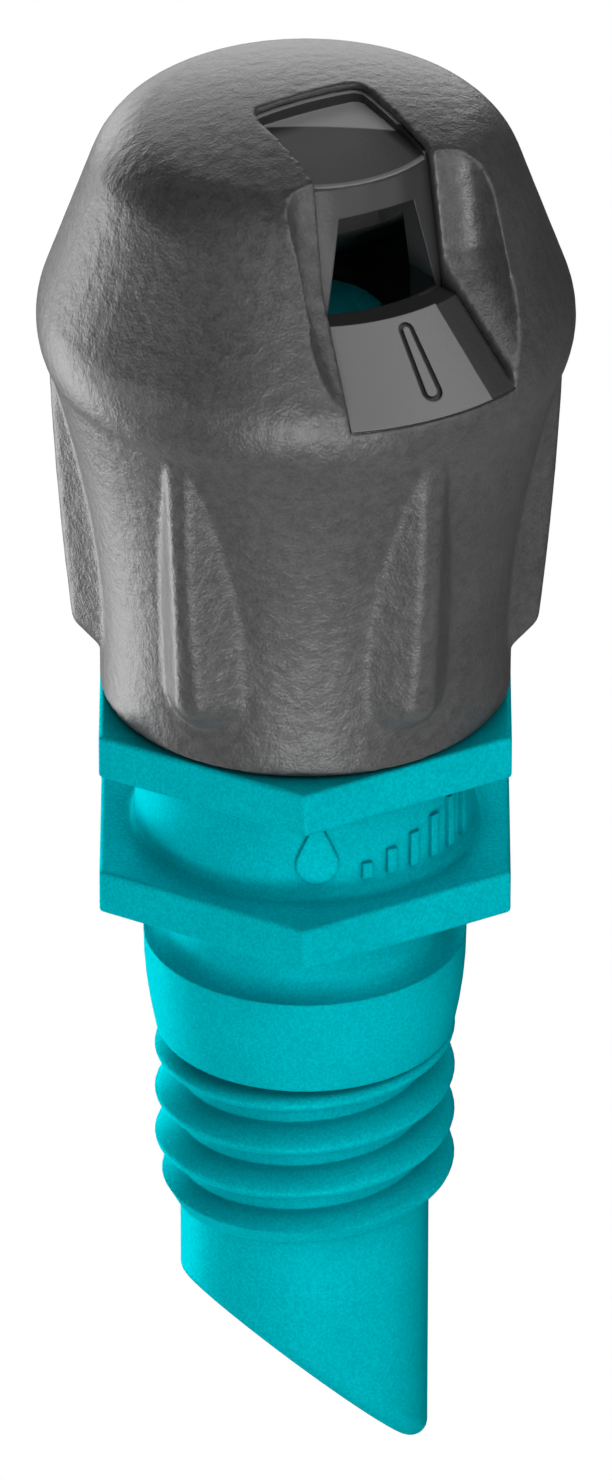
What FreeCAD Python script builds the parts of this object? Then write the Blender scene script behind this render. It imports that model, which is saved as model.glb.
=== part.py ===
import FreeCAD, Part
import math
import os

# Adjustable strip-spray emitter: a threaded body that screws into a pipe wall, and a domed
# head that turns on the body's spigot to open or shut the jet.
# Millimetres, +Z up the axis. The origin is on the axis, at the underside of the hex collar.
# The spray window faces -Y. The hex has its corners on X and its flats facing -Y and +Y.

# ---- driving dimensions: pipe end of the body ----
HEX_FLATS = 10.0          # spanner size
FLANGE_H = 1.15           # height of each hex flange
COLLAR_H = 4.92           # top of the upper flange
HEX_EDGE_R = 0.12
BARREL_R = 4.15           # round barrel between the two hex flanges
BARREL_FOOT_R = 0.24      # concave fillet between barrel and flange
NECK_R = 3.42             # neck that the pipe wall sits on
SHOULDER_R = 3.97         # top edge of the sealing cone
SHOULDER_Z = -1.98
CONE_MID_R = 3.865
CONE_MID_Z = -3.55
CONE_END_R = 3.68
CONE_END_Z = -4.60
NECK_FILLET = 0.55
STEM_R = 3.07
TIP_Z = -14.55            # height of the slanted cut on the axis
TIP_EDGE_R = 0.4
PIPE_THREAD_R = 3.70
PIPE_THREAD_PITCH = 1.25
PIPE_THREAD_HALF = 0.61   # half the width of the ridge's foot
PIPE_THREAD_PHASE = -9.63  # crest height where the helix crosses +X
RUN_OUT_Z = -9.74         # the crest rises out of the stem here
RUN_OUT_RISE = 1.24       # and is at full height this much higher
INLET_R = 1.90
INLET_TOP = 3.6

# ---- driving dimensions: spigot and regulating thread ----
WAIST_R = 2.55            # waist that the retaining ring rides on
WAIST_TOP = 7.50
STOP_R = 3.05             # shoulder that stops the retaining ring
STOP_H = 0.50
SCREW_CORE_R = 2.68
SCREW_R = 3.05
SCREW_LEAD = 1.6          # rise of the head in one turn
SCREW_HALF = 0.48
RIDGE_FOOT = 0.15         # how far a thread ridge is sunk below its root
SCREW_START = 8.70        # crest heights at the ends of the thread
SCREW_END = 10.90
SCREW_TOP = 11.5
SCREW_GAP = 0.11          # clearance on the thread's flanks and crest
LAND_R = 2.50             # seal land
LAND_TOP = 14.2
NOSE_R = 1.98
NOSE_TOP = 15.0
SEAL_Z = 13.45
SEAL_GROOVE_R = 1.95
SEAL_GROOVE_H = 0.92
CHANNEL_R = 1.10
SEAT_R = 1.30             # bore that holds the jet insert
SEAT_Z = 13.9
ORIFICE_R = 0.45

# ---- driving dimensions: head ----
CAP_Z = 4.98              # bottom edge of the grip cap
SKIRT_R = 5.0
FLARE_Z = 6.2             # the skirt is straight up to here
FLARE_R = 25.0
RING_R = 6.5              # widest ring of the dome
RING_Z = 15.05
RING_ROUND = 2.5
DOME_LEAN = 19.8          # degrees, side of the dome from vertical
DOME_FILLET = 2.08
DOME_R = 13.7
APEX_Z = 20.98
RIBS = 6
RIB_BACK_HALF = 0.30      # half the width of a rib's back
RIB_END_Z = 6.90          # centre of a rib's round lower end
RIB_FOOT_R = 5.67         # the back at its lower end
RIB_FOOT_Z = 6.72
RIB_TOP_R = 6.20          # the back where it sinks into the flare
RIB_TOP_Z = 13.9
RIB_BOW = 0.07            # how far the rib's back bulges
RIB_EDGE_R = 0.35
RIB_DEPTH = 1.2           # the flanks run this far below the back
RIB_MARGIN = 0.2          # and this far above it before the back is cut
RIB_ROOF_Z = 14.6         # the rib ends here, inside the widest ring
SKIN = 0.02               # gap between the cap and the core it is moulded on
CORE_R = 4.30
CORE_Z = 5.25

# ---- driving dimensions: spray window ----
FACE_R = 3.93             # foot of the core's front cone
FACE_TOP_R = 3.35
FLOOR_EDGE_Z = 20.22      # front edge of the recess floor
FLOOR_R = 22.0
LEDGE_Z = 17.07
RAMP_R = 4.50             # the ramp starts here and ends on the widest ring
RAMP_END_Z = 15.27
RAMP_DROP = 0.05          # the strip on the ramp's right side lies this much lower
PAD_ANGLE = 13.2          # degrees from the window's middle to that strip
CORE_CROWN = 0.23         # skin thickness over the core at the top
RIM_GAP = 0.05
MOUTH_BOTTOM_W = 1.575
MOUTH_TOP_W = 1.08
MOUTH_TOP_Z = 19.50
MOUTH_BACK_W = 1.15       # half the mouth's width at its inner end
MOUTH_BACK = 1.8          # distance of that end in front of the axis
PIT_R = 3.86              # the mouth's floor is open up to this radius
PIT_Z = 15.3

WINDOW_Z = 14.0           # the window's tools start below the ramp here
BOSS_R = 3.0              # the ramp's boss grows out of the core from this radius
BOSS_Z = 16.32            # and stands on the cap at this height

# ---- smaller parts ----
RING_THICK = 0.70
RING_LOW = 5.52
RING_GROOVE_R = 3.66
RING_GAP = 0.06           # clearance of the retaining ring in the core's groove
NEEDLE_R = 0.42
O_RING_GAP = 0.05         # the ring is drawn this far clear of groove and bore
NEEDLE_GAP = 0.06         # clearance of the needle in the orifice when the jet is shut

BOTTOM = -20.0
TOP = 23.0
Z_AXIS = FreeCAD.Vector(0, 0, 1)
X_AXIS = FreeCAD.Vector(1, 0, 0)
ORIGIN = FreeCAD.Vector(0, 0, 0)


def xz(r, z):
    """Point in the XZ half-plane."""
    return FreeCAD.Vector(r, 0, z)


def line(a, b):
    return Part.makeLine(xz(*a), xz(*b))


def arc(a, mid, b):
    """Arc through three (r, z) points."""
    return Part.Arc(xz(*a), xz(*mid), xz(*b)).toShape()


def lathe(edges, angle=360.0):
    """Turn a closed XZ outline about the Z axis."""
    face = Part.Face(Part.Wire(edges))
    return face.revolve(ORIGIN, Z_AXIS, angle)


def outline(points):
    """Straight edges that join the points and close the loop."""
    return [line(points[i], points[(i + 1) % len(points)]) for i in range(len(points))]


def lathe_points(points, angle=360.0):
    return lathe(outline(points), angle)


def cylinder(r, z0, z1):
    return Part.makeCylinder(r, z1 - z0, xz(0, z0))


def tube(r_in, r_out, z0, z1):
    return cylinder(r_out, z0, z1).cut(cylinder(r_in, z0, z1))


def turned(shape, degrees):
    """Copy of the shape turned about the Z axis."""
    copy = shape.copy()
    copy.rotate(ORIGIN, Z_AXIS, degrees)
    return copy


def point_on(cx, cz, r, degrees):
    t = math.radians(degrees)
    return (cx + r * math.cos(t), cz + r * math.sin(t))


def plan_prism(points, z0, z1):
    """Prism with a plan outline of (x, distance towards -Y) points."""
    corners = [FreeCAD.Vector(x, -d, z0) for x, d in points]
    wire = Part.makePolygon(corners + corners[:1])
    return Part.Face(wire).extrude(FreeCAD.Vector(0, 0, z1 - z0))


# ---------------------------------------------------------------- helical ridges

def ridge(root_r, crest_r, half_width, pitch, z_start, turns):
    """Helical ridge with smooth flanks that run on below the root surface."""
    sink = 0.12 * (crest_r - root_r)
    height = crest_r - root_r + sink
    steps = 6
    upper = []
    for i in range(steps + 1):
        t = i / steps
        r = root_r - sink + height * 0.5 * (1 + math.cos(math.pi * t))
        upper.append(FreeCAD.Vector(r, 0, z_start + half_width * t))
    lower = [FreeCAD.Vector(p.x, 0, 2 * z_start - p.z) for p in reversed(upper)]
    curve = Part.BSplineCurve()
    curve.interpolate(lower[:-1] + upper)
    low, high = lower[0], upper[-1]
    inner_r = root_r - sink - RIDGE_FOOT
    in_low = FreeCAD.Vector(inner_r, 0, low.z)
    in_high = FreeCAD.Vector(inner_r, 0, high.z)
    wire = Part.Wire([curve.toShape(), Part.makeLine(high, in_high),
                      Part.makeLine(in_high, in_low), Part.makeLine(in_low, low)])
    path = Part.makeHelix(pitch, pitch * turns, crest_r)
    path.translate(FreeCAD.Vector(0, 0, z_start))
    return Part.Wire(path).makePipeShell([wire], True, True)


# ---------------------------------------------------------------- body

def hex_flange(z):
    """Hex plate with small rounded edges."""
    corner_r = HEX_FLATS / math.sqrt(3)
    corners = [FreeCAD.Vector(corner_r * math.cos(math.radians(60 * i)),
                              corner_r * math.sin(math.radians(60 * i)), z) for i in range(6)]
    face = Part.Face(Part.makePolygon(corners + corners[:1]))
    plate = face.extrude(FreeCAD.Vector(0, 0, FLANGE_H))
    return plate.makeFillet(HEX_EDGE_R, plate.Edges)


def collar():
    """Two hex flanges joined by a round barrel with concave feet."""
    low = FLANGE_H
    high = COLLAR_H - FLANGE_H
    f = BARREL_FOOT_R
    k = f * (1 - math.sqrt(0.5))
    foot_low = (BARREL_R + k, low + k)
    foot_high = (BARREL_R + k, high - k)
    edges = [
        line((0, low - f), (BARREL_R + f, low - f)),
        line((BARREL_R + f, low - f), (BARREL_R + f, low)),
        arc((BARREL_R + f, low), foot_low, (BARREL_R, low + f)),
        line((BARREL_R, low + f), (BARREL_R, high - f)),
        arc((BARREL_R, high - f), foot_high, (BARREL_R + f, high)),
        line((BARREL_R + f, high), (BARREL_R + f, high + f)),
        line((BARREL_R + f, high + f), (0, high + f)),
        line((0, high + f), (0, low - f)),
    ]
    barrel = lathe(edges)
    return hex_flange(0).fuse([hex_flange(COLLAR_H - FLANGE_H), barrel])


def flow_mark():
    """Raised mark on the barrel: a water drop and a rising scale of bars."""
    height = 0.10
    mid = COLLAR_H / 2 - 0.05
    skin = tube(BARREL_R - 0.2, BARREL_R + height, 0, COLLAR_H)
    marks = []
    drop_r = 0.52
    tip = FreeCAD.Vector(0, -3.5, mid + 1.02)
    sides = [point_on(0, mid - 0.28, drop_r, a) for a in (28, 270, 152)]
    right, low, left = [FreeCAD.Vector(x, -3.5, z) for x, z in sides]
    drop_wire = Part.Wire([Part.makeLine(tip, right), Part.Arc(right, low, left).toShape(),
                           Part.makeLine(left, tip)])
    drop = Part.Face(drop_wire).extrude(FreeCAD.Vector(0, -1.5, 0))
    marks.append(turned(drop, -26))
    for i in range(6):
        tall = 0.42 + 0.24 * i
        bar = Part.makeBox(0.26, 1.5, tall, FreeCAD.Vector(-0.13, -5.0, mid - 0.80))
        marks.append(turned(bar, -9 + 9.0 * i))
    return marks[0].fuse(marks[1:]).common(skin)


def shank():
    """Neck, sealing cone and plain stem, turned in one piece."""
    k = NECK_FILLET * (1 - math.sqrt(0.5))
    neck_foot = (NECK_R + NECK_FILLET, SHOULDER_Z)
    edges = [
        line((0, 0.5), (NECK_R, 0.5)),
        line((NECK_R, 0.5), (NECK_R, SHOULDER_Z + NECK_FILLET)),
        arc((NECK_R, SHOULDER_Z + NECK_FILLET), (NECK_R + k, SHOULDER_Z + k), neck_foot),
        arc(neck_foot, (CONE_MID_R, CONE_MID_Z), (CONE_END_R, CONE_END_Z)),
        line((CONE_END_R, CONE_END_Z), (STEM_R, CONE_END_Z - 0.08)),
        line((STEM_R, CONE_END_Z - 0.08), (STEM_R, BOTTOM)),
        line((STEM_R, BOTTOM), (0, BOTTOM)),
        line((0, BOTTOM), (0, 0.5)),
    ]
    return lathe(edges)


def slanted_stem():
    """Shank cut off at 45 degrees, with the cut's outer edge rounded."""
    far = 8.0
    points = [xz(-far, TIP_Z + far), xz(far, TIP_Z - far), xz(far, BOTTOM - far), xz(-far, BOTTOM - far)]
    face = Part.Face(Part.makePolygon(points + points[:1]))
    waste = face.extrude(FreeCAD.Vector(0, 2 * far, 0))
    waste.translate(FreeCAD.Vector(0, -far, 0))
    stem = shank().cut(waste)
    rim = [e for e in stem.Edges if e.BoundBox.ZMin < TIP_Z - 1 and e.BoundBox.ZLength > 5
           and e.BoundBox.YLength > STEM_R]
    return stem.makeFillet(TIP_EDGE_R, rim)


def pipe_thread():
    """Coarse self-cutting ridge that fades out of the stem at its lower end."""
    turns = (CONE_END_Z - 0.1 - RUN_OUT_Z) / PIPE_THREAD_PITCH
    angle = (RUN_OUT_Z - PIPE_THREAD_PHASE) / PIPE_THREAD_PITCH * 360.0
    coil = ridge(STEM_R, PIPE_THREAD_R, PIPE_THREAD_HALF, PIPE_THREAD_PITCH, RUN_OUT_Z, turns)
    coil = turned(coil, angle)
    full_z = RUN_OUT_Z + RUN_OUT_RISE
    clear = PIPE_THREAD_R + 0.05
    under = CONE_END_R - 0.04
    fade = lathe_points([(0, RUN_OUT_Z - 1), (STEM_R, RUN_OUT_Z - 1), (STEM_R, RUN_OUT_Z),
                         (clear, full_z), (clear, CONE_END_Z - 0.35), (under, CONE_END_Z - 0.15),
                         (under, CONE_END_Z + 0.3), (0, CONE_END_Z + 0.3)])
    return coil.common(fade)


def spigot():
    """Stepped spigot above the collar, without its thread."""
    g0 = SEAL_Z - SEAL_GROOVE_H / 2
    g1 = SEAL_Z + SEAL_GROOVE_H / 2
    return lathe_points([
        (0, COLLAR_H - 0.5), (WAIST_R, COLLAR_H - 0.5), (WAIST_R, WAIST_TOP), (STOP_R, WAIST_TOP),
        (STOP_R, WAIST_TOP + STOP_H), (SCREW_CORE_R, WAIST_TOP + STOP_H),
        (SCREW_CORE_R, SCREW_TOP), (LAND_R, SCREW_TOP + 0.2), (LAND_R, g0), (SEAL_GROOVE_R, g0),
        (SEAL_GROOVE_R, g1), (LAND_R, g1), (LAND_R, LAND_TOP - 0.2), (LAND_R - 0.2, LAND_TOP),
        (NOSE_R, LAND_TOP), (NOSE_R, NOSE_TOP - 0.12), (NOSE_R - 0.12, NOSE_TOP), (0, NOSE_TOP),
    ])


def screw_ridge(gap):
    """Regulating thread; a positive gap gives the mating groove, open at its lower end."""
    extra = 0.04 if gap else 0.0
    lead_in = 0.5 if gap else 0.0
    start = SCREW_START - lead_in * SCREW_LEAD
    turns = (SCREW_END - start) / SCREW_LEAD + extra
    phase = turned_start(start)
    coil = ridge(SCREW_CORE_R, SCREW_R + gap, SCREW_HALF + gap, SCREW_LEAD, start, turns)
    return turned(coil, phase)


def turned_start(start):
    """Angle on the regulating helix at a crest height."""
    return (start - SCREW_START) / SCREW_LEAD * 360.0


def water_way():
    """Bore from the slanted inlet to the seat of the jet insert."""
    return lathe_points([
        (0, BOTTOM), (INLET_R, BOTTOM), (INLET_R, INLET_TOP), (CHANNEL_R, INLET_TOP + 0.6),
        (CHANNEL_R, SEAT_Z), (SEAT_R, SEAT_Z), (SEAT_R, NOSE_TOP + 1), (0, NOSE_TOP + 1),
    ])


def make_threaded_body():
    body = slanted_stem().fuse(pipe_thread())
    body = body.fuse([collar(), spigot()])
    body = body.fuse(screw_ridge(0)).fuse(flow_mark())
    return body.cut(water_way()).Solids[0]


# ---------------------------------------------------------------- head: grip cap

def dome_points():
    """Tangent points of the dome outline: ring, side, top fillet and crown."""
    ring_c = RING_R - RING_ROUND
    side_low = point_on(ring_c, RING_Z, RING_ROUND, DOME_LEAN)
    s = math.radians(DOME_LEAN)
    crown_z = APEX_Z - DOME_R
    # The fillet's centre is DOME_FILLET inside both the side line and the crown sphere.
    reach = side_low[0] * math.cos(s) + side_low[1] * math.sin(s) - DOME_FILLET
    along = crown_z * math.cos(s)
    off = reach - crown_z * math.sin(s)
    t = along + math.sqrt((DOME_R - DOME_FILLET) ** 2 - off ** 2)
    centre = (reach * math.cos(s) - t * math.sin(s), reach * math.sin(s) + t * math.cos(s))
    top = math.degrees(math.atan2(centre[1] - crown_z, centre[0]))
    side_high = point_on(centre[0], centre[1], DOME_FILLET, DOME_LEAN)
    fillet_mid = point_on(centre[0], centre[1], DOME_FILLET, (DOME_LEAN + top) / 2)
    fillet_top = point_on(centre[0], centre[1], DOME_FILLET, top)
    crown_mid = point_on(0, crown_z, DOME_R, (top + 90) / 2)
    return side_low, side_high, fillet_mid, fillet_top, crown_mid


def flare_radius(z):
    """Skirt radius between the ribs."""
    if z <= FLARE_Z:
        return SKIRT_R
    return SKIRT_R + FLARE_R - math.sqrt(FLARE_R ** 2 - (z - FLARE_Z) ** 2)


def ring_radius(z):
    """Underside of the widest ring."""
    return RING_R - RING_ROUND + math.sqrt(RING_ROUND ** 2 - (z - RING_Z) ** 2)


def flare_meets_ring():
    """Height where the flare runs into the ring's rounding."""
    low, high = RING_Z - RING_ROUND * 0.9, RING_Z
    for _ in range(60):
        mid = (low + high) / 2
        if flare_radius(mid) > ring_radius(mid):
            low = mid
        else:
            high = mid
    return high


def cap_blank():
    """Outer form of the cap as a solid of revolution."""
    side_low, side_high, fillet_mid, fillet_top, crown_mid = dome_points()
    meet_z = flare_meets_ring()
    meet = (ring_radius(meet_z), meet_z)
    mid_z = (FLARE_Z + meet_z) / 2
    half = math.degrees(math.asin((RING_Z - meet_z) / RING_ROUND))
    ring_mid = point_on(RING_R - RING_ROUND, RING_Z, RING_ROUND, (DOME_LEAN - half) / 2)
    edges = [
        line((0, CAP_Z), (SKIRT_R, CAP_Z)),
        line((SKIRT_R, CAP_Z), (SKIRT_R, FLARE_Z)),
        arc((SKIRT_R, FLARE_Z), (flare_radius(mid_z), mid_z), meet),
        arc(meet, ring_mid, side_low),
        line(side_low, side_high),
        arc(side_high, fillet_mid, fillet_top),
        arc(fillet_top, crown_mid, (0, APEX_Z)),
        line((0, APEX_Z), (0, CAP_Z)),
    ]
    blank = lathe(edges)
    waist = [e for e in blank.Edges if abs(e.BoundBox.ZMin - meet_z) < 0.01
             and e.BoundBox.ZLength < 0.01]
    return blank.makeFillet(0.9, waist)


def rib_back(z):
    """Radius of a rib's back: a straight lean with a slight bow."""
    half = (RIB_TOP_Z - RIB_FOOT_Z) / 2
    t = (z - RIB_FOOT_Z) / half - 1
    return (RIB_FOOT_R + RIB_TOP_R) / 2 + (RIB_TOP_R - RIB_FOOT_R) / 2 * t + RIB_BOW * (1 - t * t)


def rib_outline(outwards, half):
    """Front outline of a rib on a plane parallel to its back: straight sides, round lower end."""
    lean = (RIB_TOP_R - RIB_FOOT_R) / (RIB_TOP_Z - RIB_FOOT_Z)

    def at(x, z):
        return FreeCAD.Vector(x, -(RIB_FOOT_R + outwards + lean * (z - RIB_FOOT_Z)), z)
    left, low, right = at(-half, RIB_END_Z), at(0, RIB_END_Z - half), at(half, RIB_END_Z)
    top_left, top_right = at(-half, RIB_ROOF_Z), at(half, RIB_ROOF_Z)
    return Part.Wire([Part.Arc(left, low, right).toShape(), Part.makeLine(right, top_right),
                      Part.makeLine(top_right, top_left), Part.makeLine(top_left, left)])


def rib():
    """Grip rib on the -Y side: 45 degree flanks, a round lower end and a back that bows a little."""
    outer = rib_outline(RIB_MARGIN, RIB_BACK_HALF - RIB_MARGIN)
    inner = rib_outline(-RIB_DEPTH, RIB_BACK_HALF + RIB_DEPTH)
    bar = Part.makeLoft([outer, inner], True, True)
    low, mid, high = [(rib_back(z), z) for z in (CAP_Z, RIB_TOP_Z - RIB_FOOT_Z, RIB_ROOF_Z + 1)]
    back = lathe([line((0, low[1]), low), arc(low, mid, high), line(high, (0, high[1])),
                  line((0, high[1]), (0, low[1]))])
    bar = bar.common(back).Solids[0]
    rim = [e for e in bar.Edges if is_rib_rim(e)]
    return bar.makeFillet(RIB_EDGE_R, rim)


def is_rib_rim(edge):
    """True for the edges between a rib's back and its flanks and round end."""
    box = edge.BoundBox
    outside = box.YMax < -RIB_FOOT_R + 0.3 and box.ZMin < RIB_FOOT_Z + 0.5
    return outside and box.XLength < 2 * RIB_BACK_HALF + 0.2


def window_plan(inset):
    """Plan outline of the spray window, narrowed by an inset."""
    i = inset
    return [(-1.50 + i, -0.02 + i), (1.50 - i, -0.02 + i), (1.60 - i, 3.20), (1.66 - i, 3.75),
            (2.50 - i, 6.90), (-2.50 + i, 6.90), (-1.66 + i, 3.75), (-1.60 + i, 3.20)]


def window_prism(inset, corner):
    """Window outline as a tall prism, with its two back corners rounded."""
    prism = plan_prism(window_plan(inset), WINDOW_Z, TOP)
    back = [e for e in prism.Edges if e.BoundBox.ZLength > 5 and e.BoundBox.YMax > -0.5]
    return prism.makeFillet(corner, back)


def seat_floor(z_up):
    """Space of revolution above the seat that the cap gives the core's ramp."""
    seat_z = BOSS_Z - SKIN
    far = RING_R + 3
    return lathe_points([(0, seat_z), (CORE_R, seat_z), (RING_R, RING_Z + 0.15), (RING_R + 0.3, RING_Z),
                         (far, RING_Z), (far, z_up), (0, z_up)])


def scoop():
    """Right-hand scoop: lowers the cap beside the window so that the fan can spread."""
    profile = [(3.18, TOP), (3.24, 20.45), (3.72, 17.72), (6.70, 15.02), (8.5, 15.02), (8.5, TOP)]
    corners = [FreeCAD.Vector(0, -d, z) for d, z in profile]
    face = Part.Face(Part.makePolygon(corners + corners[:1]))
    sweep = face.extrude(FreeCAD.Vector(4, 0, 0))
    bend = [e for e in sweep.Edges if e.BoundBox.XLength > 3 and abs(e.BoundBox.ZMin - 17.72) < 0.01]
    sweep = sweep.makeFillet(0.8, bend)
    plan = plan_prism([(1.40, 2.5), (2.56, 2.5), (2.95, 8.0), (1.40, 8.0)], 14.5, TOP - 0.5)
    tool = sweep.common(plan)
    wall = [e for e in tool.Edges if is_scoop_valley(e)]
    return tool.makeFillet(0.62, wall)


def is_scoop_valley(edge):
    """True for the edges between the scoop's floor and its outer wall."""
    box = edge.BoundBox
    on_wall = box.XMin > 2.5
    upright = box.XLength < 0.02 and box.YLength < 0.02
    level = box.ZLength < 0.02
    return on_wall and not upright and not level and box.YMax < -3.1 and box.ZMin > 14.9


def core_outline(grow):
    """Outline of the core, without its bore; grown by the skin gap for the cap's cavity."""
    g = grow
    crown = APEX_Z - CORE_CROWN + g
    slope = (FACE_R - FACE_TOP_R) / (FLOOR_EDGE_Z - LEDGE_Z)
    edge_z = 20.30 + g
    edge_r = FACE_TOP_R + g - slope * (edge_z - FLOOR_EDGE_Z)
    crown_mid = edge_r / 2
    sag = crown - edge_z
    mid_z = crown - sag / 4
    return [
        line((0, CORE_Z - g), (CORE_R + g, CORE_Z - g)),
        line((CORE_R + g, CORE_Z - g), (CORE_R + g, 16.10 + g)),
        line((CORE_R + g, 16.10 + g), (FACE_R + g, 16.45 + g)),
        line((FACE_R + g, 16.45 + g), (FACE_R + g, LEDGE_Z)),
        line((FACE_R + g, LEDGE_Z), (edge_r, edge_z)),
        arc((edge_r, edge_z), (crown_mid, mid_z), (0, crown)),
        line((0, crown), (0, CORE_Z - g)),
    ]


def make_grip_cap():
    cap = cap_blank()
    one_rib = rib()
    for i in range(RIBS):
        cap = cap.fuse(turned(one_rib, 360 / RIBS * i))
    window = window_prism(0, 0.28).common(seat_floor(TOP))
    right = scoop()
    left = right.mirror(ORIGIN, X_AXIS)
    cap = cap.cut([window, right, left])
    cap = cap.cut(lathe(core_outline(SKIN)))
    bottom = cylinder(CORE_R + SKIN, CAP_Z - 1, CORE_Z + 1)
    return cap.cut(bottom).Solids[0]


# ---------------------------------------------------------------- head: nozzle core

def ramp_cone(top_drop):
    """Ledge and ramp as a solid of revolution, lowered by a drop."""
    z_in = LEDGE_Z - top_drop
    z_out = RAMP_END_Z - top_drop
    seat_in, seat_out = (CORE_R, BOSS_Z), (RING_R - SKIN, RING_Z + 0.18)
    return lathe_points([(BOSS_R, BOSS_Z), seat_in, seat_out, (RING_R, z_out), (RAMP_R, z_in),
                         (BOSS_R, z_in)])


def ramp():
    """Ledge and ramp: a broad pad with the strip symbol, and a lower strip to its right."""
    reach = 8.0
    wide = reach * math.tan(math.radians(PAD_ANGLE))
    pad_side = plan_prism([(0, 0), (wide, reach), (-reach, reach), (-reach, 0)], WINDOW_Z, LEDGE_Z + 1)
    pad = ramp_cone(0.0).common(pad_side)
    both = ramp_cone(RAMP_DROP).fuse(pad)
    return both.common(window_prism(SKIN, 0.25)).cut(strip_symbol())


def slot_outline(r_top, r_low, length):
    """Wire of a tapered slot in the XY plane, centred on its upper end."""
    lean = math.degrees(math.asin((r_low - r_top) / length))
    t0 = point_on(0, 0, r_top, lean)
    t1 = point_on(0, 0, r_top, 90)
    t2 = point_on(0, 0, r_top, 180 - lean)
    b0 = point_on(0, -length, r_low, 180 - lean)
    b1 = point_on(0, -length, r_low, 270)
    b2 = point_on(0, -length, r_low, 360 + lean)
    p = [FreeCAD.Vector(x, y, 0) for x, y in (t0, t1, t2, b0, b1, b2)]
    return Part.Wire([Part.Arc(p[0], p[1], p[2]).toShape(), Part.makeLine(p[2], p[3]),
                      Part.Arc(p[3], p[4], p[5]).toShape(), Part.makeLine(p[5], p[0])])


def strip_symbol():
    """Groove in the shape of a long ring, laid on the ramp."""
    length = 1.62
    depth = 0.10
    outer = Part.Face(slot_outline(0.20, 0.27, length))
    inner = Part.Face(slot_outline(0.085, 0.14, length))
    groove = outer.cut(inner).extrude(FreeCAD.Vector(0, 0, 1.0))
    groove.translate(FreeCAD.Vector(0, 0, -depth))
    lean = math.degrees(math.atan2(LEDGE_Z - RAMP_END_Z, RING_R - RAMP_R))
    groove.rotate(ORIGIN, X_AXIS, lean)
    start = 4.78
    z = LEDGE_Z - (start - RAMP_R) * math.tan(math.radians(lean))
    groove.translate(FreeCAD.Vector(0, -start, z))
    return groove


def spray_chamber():
    """Room above the jet: a sloped deflector throws the water out through the mouth."""
    room = lathe_points([(0, LAND_TOP - 0.4), (LAND_R + 0.1, LAND_TOP - 0.4), (3.0, LAND_TOP + 0.5),
                         (3.0, 18.9), (2.4, 19.3), (0, 19.3)])
    side = [FreeCAD.Vector(0, 3.2, 13.0), FreeCAD.Vector(0, 3.2, 15.6), FreeCAD.Vector(0, 0.9, 15.9),
            FreeCAD.Vector(0, -3.2, 19.15), FreeCAD.Vector(0, -3.2, 13.0)]
    front = Part.Face(Part.makePolygon(side + side[:1])).extrude(FreeCAD.Vector(7, 0, 0))
    front.translate(FreeCAD.Vector(-3.5, 0, 0))
    return room.common(front)


def mouth():
    """Spray mouth in the front cone: a trapezium that narrows inwards."""
    def section(d, low_w, top_w, z_low, z_top):
        p = [FreeCAD.Vector(-low_w, -d, z_low), FreeCAD.Vector(low_w, -d, z_low),
             FreeCAD.Vector(top_w, -d, z_top), FreeCAD.Vector(-top_w, -d, z_top)]
        return Part.makePolygon(p + p[:1])
    outer = section(4.3, MOUTH_BOTTOM_W + 0.05, MOUTH_TOP_W + 0.05, LEDGE_Z, MOUTH_TOP_Z + 0.22)
    inner = section(MOUTH_BACK, MOUTH_BACK_W, 0.85, LEDGE_Z, MOUTH_TOP_Z - 0.62)
    return Part.makeLoft([outer, inner], True, True)


def mouth_pit():
    """Opening in the mouth's floor, with a round front edge, down to the spray chamber."""
    reach = 4.3
    plan = [(MOUTH_BACK_W, MOUTH_BACK), (MOUTH_BOTTOM_W + 0.05, reach),
            (-MOUTH_BOTTOM_W - 0.05, reach), (-MOUTH_BACK_W, MOUTH_BACK)]
    return plan_prism(plan, PIT_Z, LEDGE_Z + 0.2).common(cylinder(PIT_R, PIT_Z - 1, LEDGE_Z + 1))


def core_bore():
    """Inside of the core: ring groove, clearance, threaded zone and seal bore."""
    ring_low = RING_LOW - RING_GAP
    ring_top = RING_LOW + RING_THICK + RING_GAP
    minor = SCREW_CORE_R + SCREW_GAP + 0.02
    return lathe_points([
        (0, CORE_Z - 1), (3.12, CORE_Z - 1), (3.12, ring_low), (RING_GROOVE_R, ring_low),
        (RING_GROOVE_R, ring_top), (STOP_R + 0.1, ring_top), (STOP_R + 0.1, 8.45), (minor, 8.7),
        (minor, 11.55), (LAND_R + 0.10, 11.70), (LAND_R + 0.10, LAND_TOP - 0.3), (0, LAND_TOP - 0.3),
    ])


def window_recess():
    """Space above the core's recess floor, cut a little narrower than the cap's window."""
    sag = FLOOR_R - math.sqrt(FLOOR_R ** 2 - FACE_TOP_R ** 2)
    floor_top = FLOOR_EDGE_Z + sag
    mid = (FACE_TOP_R / 2 + 1, floor_top - (FLOOR_R - math.sqrt(FLOOR_R ** 2 - (FACE_TOP_R / 2 + 1) ** 2)))
    edge = (6.0, floor_top - (FLOOR_R - math.sqrt(FLOOR_R ** 2 - 36.0)))
    space = lathe([arc((0, floor_top), mid, edge), line(edge, (6.0, TOP)),
                   line((6.0, TOP), (0, TOP)), line((0, TOP), (0, floor_top))])
    return window_prism(RIM_GAP, 0.25).common(space)


def make_nozzle_core():
    core = lathe(core_outline(0)).cut(window_recess())
    lip = [e for e in core.Edges if is_floor_lip(e)]
    core = core.makeFillet(0.14, lip)
    core = core.fuse(ramp())
    for tool in (core_bore(), spray_chamber(), mouth(), mouth_pit(), needle_hole(),
                 screw_ridge(SCREW_GAP)):
        core = core.cut(tool)
    return core.Solids[0]


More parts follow.
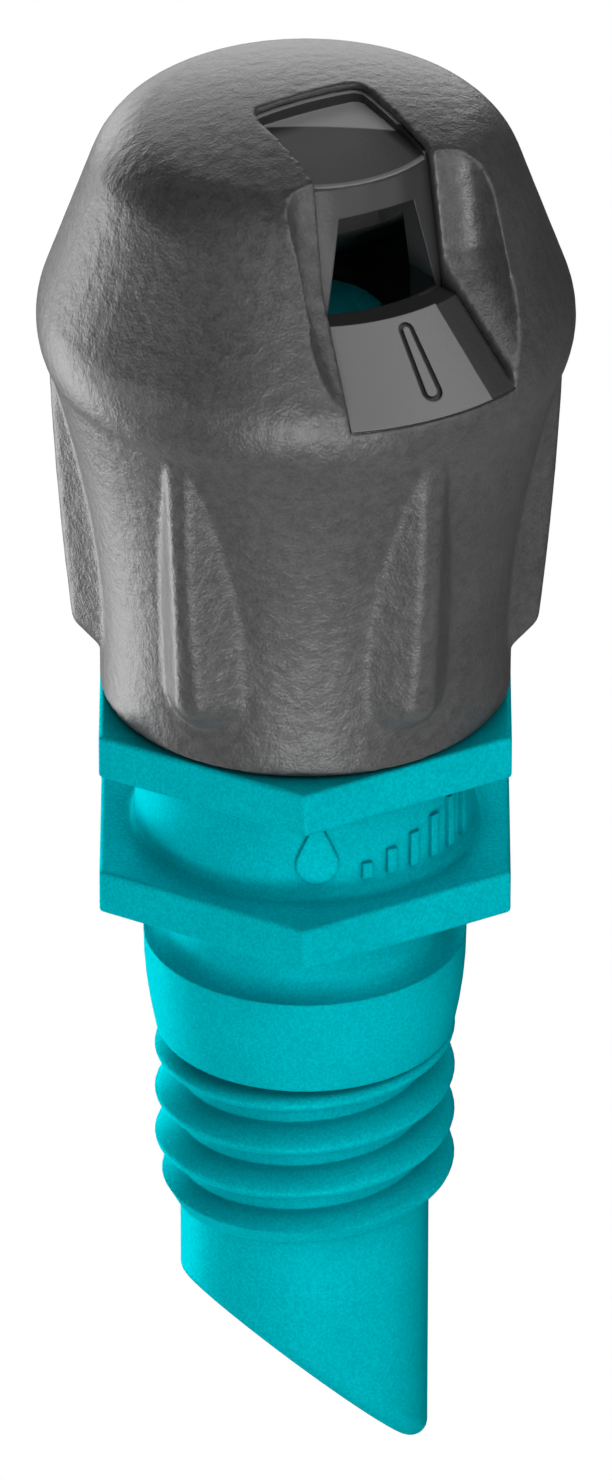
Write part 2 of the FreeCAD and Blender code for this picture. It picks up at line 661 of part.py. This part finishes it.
def is_floor_lip(edge):
    """True for the front edge of the recess floor."""
    box = edge.BoundBox
    return abs(box.ZMin - FLOOR_EDGE_Z) < 0.08 and box.ZLength < 0.08 and box.YMax < -2.7


# ---------------------------------------------------------------- small parts

def needle_hole():
    return cylinder(NEEDLE_R, 15.0, 18.6)


def make_metering_needle():
    """Tapered pin in the core; its point stands in the orifice when the head is down."""
    return lathe_points([(0, 14.25), (0.16, 14.25), (ORIFICE_R - NEEDLE_GAP, 14.95),
                         (NEEDLE_R - 0.02, 15.3), (NEEDLE_R - 0.005, 15.9), (NEEDLE_R - 0.005, 18.55),
                         (0, 18.55)])


def make_jet_insert():
    """Orifice pressed into the spigot's nose, conical on its upstream side."""
    return lathe_points([(ORIFICE_R, NOSE_TOP), (SEAT_R - 0.005, NOSE_TOP), (SEAT_R - 0.005, SEAT_Z + 0.005),
                         (0.95, SEAT_Z + 0.005), (ORIFICE_R, SEAT_Z + 0.55)])


def make_seal_ring():
    """O-ring in the spigot's groove, squeezed to an oval section."""
    inner = SEAL_GROOVE_R + O_RING_GAP
    outer = LAND_R + 0.10 - O_RING_GAP
    centre = FreeCAD.Vector((inner + outer) / 2, 0, SEAL_Z)
    tall = SEAL_GROOVE_H / 2 - 0.03
    oval = Part.Ellipse(centre + FreeCAD.Vector(0, 0, tall),
                        centre + FreeCAD.Vector((outer - inner) / 2, 0, 0), centre)
    return Part.Face(Part.Wire([oval.toShape()])).revolve(ORIGIN, Z_AXIS, 360)


def make_retaining_ring():
    """Split ring that sits in the core's groove and rides on the spigot's waist."""
    ring = tube(WAIST_R + 0.07, RING_GROOVE_R - RING_GAP, RING_LOW, RING_LOW + RING_THICK)
    split = Part.makeBox(0.7, 6, 2, FreeCAD.Vector(-0.35, 1.5, RING_LOW - 0.5))
    return ring.cut(split).Solids[0]


def make_inlet_strainer():
    """Slotted basket in the inlet bore: rim, ribs, thin hoops and a closed end."""
    low, high = -10.6, -3.4
    basket_r = 1.45
    parts = [tube(1.25, INLET_R - 0.005, low, low + 0.7)]
    for i in range(8):
        bar = Part.makeBox(0.34, 0.28, high - low, FreeCAD.Vector(basket_r - 0.34, -0.14, low))
        parts.append(turned(bar, 45 * i))
    hoops = 9
    for i in range(hoops):
        z = low + 1.15 + i * 0.66
        parts.append(tube(basket_r - 0.26, basket_r - 0.04, z, z + 0.22))
    parts.append(cylinder(basket_r, high - 0.35, high))
    return parts[0].fuse(parts[1:]).removeSplitter().Solids[0]


MAKERS = {
    "threaded_body": make_threaded_body,
    "jet_insert": make_jet_insert,
    "seal_ring": make_seal_ring,
    "inlet_strainer": make_inlet_strainer,
    "retaining_ring": make_retaining_ring,
    "nozzle_core": make_nozzle_core,
    "metering_needle": make_metering_needle,
    "grip_cap": make_grip_cap,
}

os.makedirs("parts", exist_ok=True)
for node, make in MAKERS.items():
    make().exportStep(os.path.join("parts", node + ".step"))
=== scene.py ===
import math

import bpy
import numpy as np
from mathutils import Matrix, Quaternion, Vector, noise


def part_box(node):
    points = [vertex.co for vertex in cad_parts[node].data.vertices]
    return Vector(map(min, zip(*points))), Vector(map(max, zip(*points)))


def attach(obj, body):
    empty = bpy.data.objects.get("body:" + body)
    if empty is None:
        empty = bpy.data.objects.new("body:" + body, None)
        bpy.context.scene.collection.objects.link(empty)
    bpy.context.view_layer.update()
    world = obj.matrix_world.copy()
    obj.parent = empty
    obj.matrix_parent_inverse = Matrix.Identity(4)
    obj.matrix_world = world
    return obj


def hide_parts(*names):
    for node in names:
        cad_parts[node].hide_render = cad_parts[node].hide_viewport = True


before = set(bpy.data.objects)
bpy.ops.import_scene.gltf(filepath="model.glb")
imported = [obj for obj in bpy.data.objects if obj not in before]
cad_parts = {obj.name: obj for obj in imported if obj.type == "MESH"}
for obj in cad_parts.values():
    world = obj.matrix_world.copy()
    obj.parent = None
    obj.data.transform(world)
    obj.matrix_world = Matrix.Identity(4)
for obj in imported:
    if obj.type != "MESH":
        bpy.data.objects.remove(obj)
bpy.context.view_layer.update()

MM = 0.001

# ---- camera: the photograph's viewing angle ----
IMAGE_H = 1480
VIEW_AZIMUTH = -30.0
VIEW_ELEVATION = 29.85
VIEW_DISTANCE = 424 * MM
VIEW_LENS = 423.1               # mm, on a sensor this wide:
SENSOR_W = 36
VIEW_ROLL = 0.09
AIM_HEIGHT = 3.19 * MM
AIM_OFFSET = 0.7                # how far the aim lies beside the image's middle, in its pixels

# ---- studio ----
FLOOR_Z = -150 * MM             # well below the part, so that the low lights stay above it
FLOOR_R = 4.0
FLOOR_GREY = 0.35
LIGHT_DISTANCE = 220 * MM
# name: azimuth from the camera's side, elevation, width, height (mm), watts
LIGHTS = {
    "key_left": (-116, -19, 150, 160, 0.310),
    "left_back": (-150, 8, 110, 130, 0.205),
    "back": (178, 8, 110, 130, 0.175),
    "back_high": (-170, 45, 110, 110, 0.039),
    "front_low": (2, -14, 150, 100, 0.290),
    "left_low": (-70, -6, 90, 60, 0.055),
    "right_front": (38, 4, 90, 90, 0.060),
    "right_low": (65, -6, 90, 60, 0.030),
    "front_high": (-15, 45, 110, 110, 0.037),
    "right_front_high": (30, 45, 110, 110, 0.088),
    "right_high": (75, 45, 110, 110, 0.070),
}
SKY_ZENITH = 0.0
SKY_HORIZON = 0.01

# ---- moulded surfaces ----
WHITE = (1, 1, 1, 1)
FINE_SIZE = 0.07 * MM           # the finest grain, on both the teal and the grip
GRAIN_SIZE = 0.30 * MM          # the grip's mottles
OPEN_SHARE = 0.95               # a surface this open to its surroundings gets no painted shade at all
PAINTED_SHADE_DARKEST = 0.8                   # share of the painted shade colour in a hollow

# ---- the core's painted light patches ----
CORE_DARK = (0.040, 0.040, 0.041)
# painted light on the ramp's pad and the recess floor's lip; brighter painted light on the recess floor's
# back
CORE_PAINTED_LIGHT = (0.22, 0.22, 0.222)
CORE_PAINTED_BRIGHT_LIGHT = (0.42, 0.42, 0.424)
EDGE_SOFT = 0.01 * MM           # half the width over which a painted light patch's side fades
PAD_SLOPE = math.tan(math.radians(13.2))    # the side between the painted light on the ramp's pad and its unpainted dark strip
RAMP_START = 4.50 * MM          # the ramp falls outwards from this radius
RAMP_TOP = 17.07 * MM
RAMP_FALL = 0.90                # fall over run
GROOVE_DEPTH = (0.015 * MM, 0.03 * MM)      # the symbol's groove is left out of the painted light between these depths
RECESS_Z = (19.9 * MM, 20.0 * MM)           # the recess floor lies above this height
FLOOR_SPLIT = (0.76 * MM, 0.66 * MM)        # the painted light on its back part ends this much nearer than the axis
LIP_HIGHLIGHT_R = (3.22 * MM, 3.26 * MM)              # a painted highlight on its lip starts at this radius
UPWARD = (0.5, 0.65)            # least upward part of the normal on a face with painted light

# ---- refined skin of the grip cap; each pair is where a smooth change starts and ends ----
SKIN_VOXEL = 0.072 * MM
SKIN_FACES = 190000             # triangles
RELAX_STEP = 0.5                # share of the way to the neighbours' mean in one round
RELAX_ROUNDS = 3                # over the whole skin
RIB_ROUNDS = 4                  # then on the ribs and skirt alone
GRAIN_DEPTH = 0.010 * MM
MOTTLE_MM, FINE_MM = 0.30, 0.13             # sizes of the carved grain, in mm
MOTTLE_SQUASH = 0.8             # below 1, mottles are taller than wide
FINE_SHARE = 0.1
FINE_SHIFT = 40                 # moves the fine noise away from the mottles' noise
RIB_R = (4.7 * MM, 4.95 * MM)
RING_Z = (13.6 * MM, 14.4 * MM)
HEM_Z = (5.3 * MM, 5.8 * MM)
SKIRT_R = (4.75 * MM, 4.9 * MM)
CROWN_Z = (17.0 * MM, 18.0 * MM)
WINDOW_X = (1.6 * MM, 1.9 * MM)
WINDOW_Y = (-0.2 * MM, 0.1 * MM)
WINDOW_Z = (15.0 * MM, 16.0 * MM)


# ---------------------------------------------------------------- node helpers

class Nodes:
    """Short-hand for building the node tree of a material or a world."""

    def __init__(self, owner):
        owner.use_nodes = True
        self.tree = owner.node_tree
        self.tree.nodes.clear()

    def add(self, kind, values=None, **settings):
        node = self.tree.nodes.new("ShaderNode" + kind)
        for key, value in settings.items():
            setattr(node, key, value)
        for key, value in (values or {}).items():
            self.put(node, key, value)
        return node

    def put(self, node, key, value):
        """Set an input to a number or a colour, or link it to an output socket."""
        if isinstance(value, bpy.types.NodeSocket):
            self.tree.links.new(value, node.inputs[key])
        else:
            node.inputs[key].default_value = value

    def math(self, operation, a, b=0.0):
        return self.add("Math", {0: a, 1: b}, operation=operation).outputs[0]

    def ramp(self, value, low, high, to_low=0.0, to_high=1.0):
        """Smooth step from to_low to to_high as value goes from low to high."""
        values = {"Value": value, "From Min": low, "From Max": high, "To Min": to_low, "To Max": to_high}
        node = self.add("MapRange", values, interpolation_type="SMOOTHSTEP")
        return node.outputs["Result"]

    def mix(self, factor, a, b):
        node = self.add("Mix", {"Factor": factor}, data_type="RGBA")
        self.put(node, "A", a)
        self.put(node, "B", b)
        return node.outputs["Result"]

    def noise(self, vector, size, detail=2.0, roughness=0.5):
        """Noise with features of the given size in metres."""
        values = {"Vector": vector, "Scale": 1 / size, "Detail": detail, "Roughness": roughness}
        return self.add("TexNoise", values).outputs["Fac"]

    def bump(self, height, depth, normal=None):
        values = {"Height": height, "Distance": depth, "Strength": 1.0}
        if normal is not None:
            values["Normal"] = normal
        return self.add("Bump", values).outputs["Normal"]

    def painted_hollow_shade(self, reach, deep):
        """Painted shade in hollows: 0 in the open, rising to the darkest share of painted shade where no more
        than the share called deep is open.
        """
        node = self.add("AmbientOcclusion", {"Distance": reach}, samples=8)
        return self.ramp(node.outputs["AO"], OPEN_SHARE, deep, 0.0, PAINTED_SHADE_DARKEST)

    def finish(self, shader):
        self.add("OutputMaterial", {"Surface": shader})


def material(name):
    made = bpy.data.materials.new(name)
    return made, Nodes(made)


def rgb(r, g, b):
    return (r, g, b, 1.0)


# ---------------------------------------------------------------- materials

def plastic(n, colour, roughness, normal, gloss, tint, limit=1.0):
    """A diffuse coat under a glossy one, whose share has a limit at glancing angles."""
    diffuse = n.add("BsdfDiffuse", {"Color": colour, "Normal": normal})
    glossy = n.add("BsdfGlossy", {"Color": tint, "Roughness": roughness, "Normal": normal})
    fresnel = n.add("Fresnel", {"IOR": 1.46, "Normal": normal}).outputs[0]
    amount = n.math("MINIMUM", n.math("MULTIPLY", fresnel, gloss), limit)
    mixed = n.add("MixShader", {"Fac": amount, 1: diffuse.outputs[0], 2: glossy.outputs[0]})
    n.finish(mixed.outputs[0])


def teal_plastic(name):
    made, n = material(name)
    at = n.add("TexCoord").outputs["Object"]
    fine = n.noise(at, FINE_SIZE)
    broad = n.noise(at, 2.5 * MM, 3)
    shade = n.mix(n.ramp(broad, 0.35, 0.65), rgb(0.0, 0.49, 0.565), rgb(0.0, 0.53, 0.61))
    speck_and_hollow_shade = n.mix(n.ramp(fine, 0.35, 0.65, 0.0, 0.38), shade, rgb(0.0, 0.22, 0.26))
    # painted shade: darker teal in hollows, from ambient occlusion
    speck_and_hollow_shade = n.mix(n.painted_hollow_shade(0.9 * MM, 0.35), speck_and_hollow_shade, rgb(0.0, 0.13, 0.16))
    edge = n.add("Bevel", {"Radius": 0.09 * MM}, samples=4).outputs["Normal"]
    plastic(n, speck_and_hollow_shade, 0.40, n.bump(fine, 0.014 * MM, edge), 1.0, rgb(0.0, 0.90, 1.0))
    return made


def grip_plastic(name):
    made, n = material(name)
    at = n.add("TexCoord").outputs["Object"]
    grain = n.noise(at, GRAIN_SIZE)
    fine = n.noise(at, FINE_SIZE)
    broad = n.noise(at, 2.2 * MM, 3)
    shade = n.mix(n.ramp(broad, 0.3, 0.7), rgb(0.056, 0.056, 0.057), rgb(0.072, 0.072, 0.073))
    mottled = n.mix(n.ramp(grain, 0.30, 0.70, 0.0, 0.40), shade, rgb(0.022, 0.022, 0.023))
    speck_and_hollow_shade = n.mix(n.ramp(fine, 0.35, 0.65, 0.0, 0.35), mottled, rgb(0.12, 0.12, 0.12))
    # painted shade: near black in hollows, from ambient occlusion
    speck_and_hollow_shade = n.mix(n.painted_hollow_shade(0.6 * MM, 0.55), speck_and_hollow_shade, rgb(0.006, 0.006, 0.006))
    normal = n.bump(grain, 0.026 * MM, n.bump(fine, 0.012 * MM))
    plastic(n, speck_and_hollow_shade, 0.42, normal, n.ramp(grain, 0.3, 0.7, 1.95, 1.60), WHITE, 0.15)
    return made


def painted_pad_light(n, x, y, z, reach):
    """1 where light is painted on the ramp's pad, apart from the symbol's groove."""
    past_side = n.math("SUBTRACT", n.math("MULTIPLY", y, -PAD_SLOPE), x)
    left_of_strip = n.ramp(past_side, -EDGE_SOFT, EDGE_SOFT)
    on_ramp = n.ramp(reach, RAMP_START - EDGE_SOFT, RAMP_START + EDGE_SOFT)
    fall = n.math("MULTIPLY", n.math("SUBTRACT", reach, RAMP_START), RAMP_FALL)
    depth = n.math("SUBTRACT", n.math("SUBTRACT", RAMP_TOP, fall), z)
    smooth = n.math("SUBTRACT", 1.0, n.ramp(depth, *GROOVE_DEPTH))
    return n.math("MULTIPLY", n.math("MULTIPLY", left_of_strip, on_ramp), smooth)


def painted_recess_light(n, x, y):
    """1 on the far side of a line across the view direction, which divides the recess floor; this back part
    gets painted light.
    """
    turn = math.radians(VIEW_AZIMUTH)
    across = n.math("MULTIPLY", x, math.sin(turn))
    nearer = n.math("SUBTRACT", across, n.math("MULTIPLY", y, math.cos(turn)))
    return n.ramp(nearer, *FLOOR_SPLIT)


def core_plastic(name):
    """Smooth dark plastic with painted light: the ramp's pad, the recess floor's back and its lip are painted
    paler.
    """
    made, n = material(name)
    at = n.add("TexCoord").outputs["Object"]
    place = n.add("SeparateXYZ", {0: at}).outputs
    x, y, z = place["X"], place["Y"], place["Z"]
    reach = n.math("SQRT", n.math("ADD", n.math("MULTIPLY", x, x), n.math("MULTIPLY", y, y)))
    facing = n.add("SeparateXYZ", {0: n.add("NewGeometry").outputs["Normal"]}).outputs["Z"]
    # painted light falls only on faces that point upwards
    upward = n.ramp(facing, *UPWARD)
    in_recess = n.ramp(z, *RECESS_Z)
    lip_highlight = n.math("MULTIPLY", in_recess, n.ramp(reach, *LIP_HIGHLIGHT_R))
    painted_light = n.math("MULTIPLY", upward, n.math("MAXIMUM", painted_pad_light(n, x, y, z, reach), lip_highlight))
    painted_bright_light = n.math("MULTIPLY", upward, n.math("MULTIPLY", in_recess, painted_recess_light(n, x, y)))
    # the dark core with the painted light patches laid over it
    shade = n.mix(painted_bright_light, n.mix(painted_light, rgb(*CORE_DARK), rgb(*CORE_PAINTED_LIGHT)), rgb(*CORE_PAINTED_BRIGHT_LIGHT))
    fine = n.noise(at, 0.10 * MM)
    edge = n.add("Bevel", {"Radius": 0.05 * MM}, samples=4).outputs["Normal"]
    plastic(n, shade, 0.30, n.bump(fine, 0.004 * MM, edge), 0.8, WHITE)
    return made


def plain_plastic(name, colour, roughness):
    made, n = material(name)
    at = n.add("TexCoord").outputs["Object"]
    fine = n.noise(at, 0.15 * MM)
    tint = n.mix(n.ramp(fine, 0.3, 0.7, 0.0, 0.2), rgb(*colour), rgb(*[c * 0.8 for c in colour]))
    plastic(n, tint, roughness, n.bump(fine, 0.005 * MM), 1.0, WHITE)
    return made


def dress(node, made):
    """Gives a CAD node its material."""
    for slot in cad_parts[node].material_slots:
        slot.material = made


dress("threaded_body", teal_plastic("teal_body"))
dress("jet_insert", plain_plastic("teal_insert", (0.0, 0.36, 0.41), 0.4))
dress("seal_ring", plain_plastic("black_rubber", (0.02, 0.02, 0.02), 0.6))
dress("inlet_strainer", plain_plastic("natural_plastic", (0.7, 0.7, 0.66), 0.4))
dress("retaining_ring", plain_plastic("white_acetal", (0.75, 0.75, 0.73), 0.35))
dress("metering_needle", plain_plastic("grey_needle", (0.05, 0.05, 0.05), 0.35))
dress("nozzle_core", core_plastic("core_grey"))
dress("grip_cap", grip_plastic("soft_grip"))


# ---------------------------------------------------------------- refined grip skin

def mesh_arrays(mesh):
    """Vertex positions and edges of a mesh as arrays."""
    points = np.empty(len(mesh.vertices) * 3)
    mesh.vertices.foreach_get("co", points)
    edges = np.empty(len(mesh.edges) * 2, dtype=np.int64)
    mesh.edges.foreach_get("vertices", edges)
    return points.reshape(-1, 3), edges.reshape(-1, 2)


def vertex_normals(mesh):
    normals = np.empty(len(mesh.vertices) * 3)
    mesh.vertices.foreach_get("normal", normals)
    return normals.reshape(-1, 3)


def smooth_step(x, low, high):
    t = np.clip((x - low) / (high - low), 0.0, 1.0)
    return t * t * (3 - 2 * t)


def relaxed(points, edges, weight, rounds):
    """Moves each point towards its neighbours' mean, as far as its weight allows."""
    count = len(points)
    degree = np.maximum(np.bincount(edges.ravel(), minlength=count), 1)
    for _ in range(rounds):
        total = np.empty_like(points)
        for k in range(3):
            along = points[:, k]
            total[:, k] = (np.bincount(edges[:, 0], along[edges[:, 1]], count)
                           + np.bincount(edges[:, 1], along[edges[:, 0]], count))
        points = points + weight[:, None] * (total / degree[:, None] - points)
    return points


def rib_weight(p):
    """Ribs and skirt are rounded most; the window's rim and the dome's ring stay crisp."""
    r = np.hypot(p[:, 0], p[:, 1])
    outside = smooth_step(r, *RIB_R)
    below_ring = 1 - smooth_step(p[:, 2], *RING_Z)
    above_hem = smooth_step(p[:, 2], *HEM_Z)
    return outside * below_ring * above_hem


def grain_weight(p):
    """Grain covers the outside of the cap but not the walls of the window."""
    r = np.hypot(p[:, 0], p[:, 1])
    outer = np.maximum(smooth_step(r, *SKIRT_R), smooth_step(p[:, 2], *CROWN_Z))
    in_slot = (1 - smooth_step(np.abs(p[:, 0]), *WINDOW_X)) * smooth_step(-p[:, 1], *WINDOW_Y)
    window = in_slot * smooth_step(p[:, 2], *WINDOW_Z)
    return outer * (1 - window)


def grain_height(p):
    """Leathery grain: soft mottles with a finer grain on top, from 0 down to about -1."""
    heights = np.empty(len(p))
    for i, (x, y, z) in enumerate(p / MM):
        mottle = noise.noise(Vector((x, y, z * MOTTLE_SQUASH)) / MOTTLE_MM)
        fine = noise.noise(Vector((x + FINE_SHIFT, y, z)) / FINE_MM)
        heights[i] = (1 - FINE_SHARE) * mottle + FINE_SHARE * fine
    return 0.5 * heights - 0.5


def move_points(mesh, points):
    mesh.vertices.foreach_set("co", points.ravel())
    mesh.update()


def carve(mesh, low, high):
    """Rounds the skin and its ribs, then presses the grain into it; low and high bound the result."""
    points, edges = mesh_arrays(mesh)
    points = relaxed(points, edges, np.full(len(points), RELAX_STEP), RELAX_ROUNDS)
    points = relaxed(points, edges, RELAX_STEP * rib_weight(points), RIB_ROUNDS)
    move_points(mesh, points)
    depth = GRAIN_DEPTH * grain_height(points) * grain_weight(points)
    move_points(mesh, np.clip(points + depth[:, None] * vertex_normals(mesh), low, high))


def apply_modifiers(piece):
    evaluated = piece.evaluated_get(bpy.context.evaluated_depsgraph_get())
    piece.data = bpy.data.meshes.new_from_object(evaluated)
    piece.modifiers.clear()


def make_grip_skin():
    """The grip cap again, evenly meshed, with rounded ribs and a carved grain."""
    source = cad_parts["grip_cap"]
    mesh = source.data.copy()
    mesh.transform(source.matrix_world)
    skin = bpy.data.objects.new("grip_skin", mesh)
    bpy.context.scene.collection.objects.link(skin)
    remesh = skin.modifiers.new("remesh", "REMESH")
    remesh.mode = "VOXEL"
    remesh.voxel_size = SKIN_VOXEL
    apply_modifiers(skin)
    carve(skin.data, *(np.array(corner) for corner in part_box("grip_cap")))
    thin = skin.modifiers.new("thin", "DECIMATE")
    thin.ratio = min(1.0, SKIN_FACES / (2 * len(skin.data.polygons)))
    apply_modifiers(skin)
    skin.data.shade_smooth()
    skin.data.materials.clear()
    skin.data.materials.append(grip_plastic("soft_grip_skin"))
    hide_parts("grip_cap")
    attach(skin, "head")


make_grip_skin()


# ---------------------------------------------------------------- studio

def direction(azimuth, elevation):
    a, e = math.radians(azimuth), math.radians(elevation)
    return Vector((math.sin(a) * math.cos(e), -math.cos(a) * math.cos(e), math.sin(e)))


def make_camera():
    data = bpy.data.cameras.new("camera")
    data.lens = VIEW_LENS
    data.sensor_width = SENSOR_W
    data.shift_x = AIM_OFFSET / IMAGE_H
    data.clip_start, data.clip_end = 0.01, 20
    camera = bpy.data.objects.new("camera", data)
    bpy.context.scene.collection.objects.link(camera)
    back = direction(VIEW_AZIMUTH, VIEW_ELEVATION)
    camera.location = Vector((0, 0, AIM_HEIGHT)) + back * VIEW_DISTANCE
    roll = Quaternion((0, 0, 1), math.radians(VIEW_ROLL))
    camera.rotation_mode = "QUATERNION"
    camera.rotation_quaternion = (-back).to_track_quat("-Z", "Y") @ roll
    bpy.context.scene.camera = camera


def make_light(name, azimuth, elevation, width, height, watts):
    data = bpy.data.lights.new(name, "AREA")
    data.shape = "RECTANGLE"
    data.size, data.size_y = width * MM, height * MM
    data.energy = watts
    lamp = bpy.data.objects.new(name, data)
    bpy.context.scene.collection.objects.link(lamp)
    towards = direction(VIEW_AZIMUTH + azimuth, elevation)
    lamp.location = towards * LIGHT_DISTANCE
    lamp.rotation_euler = towards.to_track_quat("Z", "Y").to_euler()
    lamp.visible_camera = False


def white_to_camera(n, lit):
    """The camera sees pure white; every other ray sees the lit shader."""
    camera_ray = n.add("LightPath").outputs["Is Camera Ray"]
    white = n.add("Emission", {"Color": WHITE, "Strength": 1.0})
    mixed = n.add("MixShader", {"Fac": camera_ray, 1: lit, 2: white.outputs[0]})
    return mixed.outputs[0]


def make_floor():
    bpy.ops.mesh.primitive_circle_add(vertices=96, radius=FLOOR_R, fill_type="NGON", location=(0, 0, FLOOR_Z))
    floor = bpy.context.object
    floor.name = "floor"
    made, n = material("pale_floor")
    diffuse = n.add("BsdfDiffuse", {"Color": rgb(FLOOR_GREY, FLOOR_GREY, FLOOR_GREY)})
    n.finish(white_to_camera(n, diffuse.outputs[0]))
    floor.data.materials.append(made)


def make_sky():
    world = bpy.data.worlds.new("studio")
    bpy.context.scene.world = world
    n = Nodes(world)
    up = n.add("SeparateXYZ", {0: n.add("TexCoord").outputs["Generated"]}).outputs["Z"]
    level = n.ramp(up, 0.0, 0.8, SKY_HORIZON, SKY_ZENITH)
    camera_ray = n.add("LightPath").outputs["Is Camera Ray"]
    strength = n.ramp(camera_ray, 0.0, 1.0, level, 1.0)
    sky = n.add("Background", {"Color": WHITE, "Strength": strength})
    n.add("OutputWorld", {"Surface": sky.outputs[0]})


make_camera()
for light_name, settings in LIGHTS.items():
    make_light(light_name, *settings)
make_floor()
make_sky()
bpy.context.scene.view_settings.view_transform = "Standard"
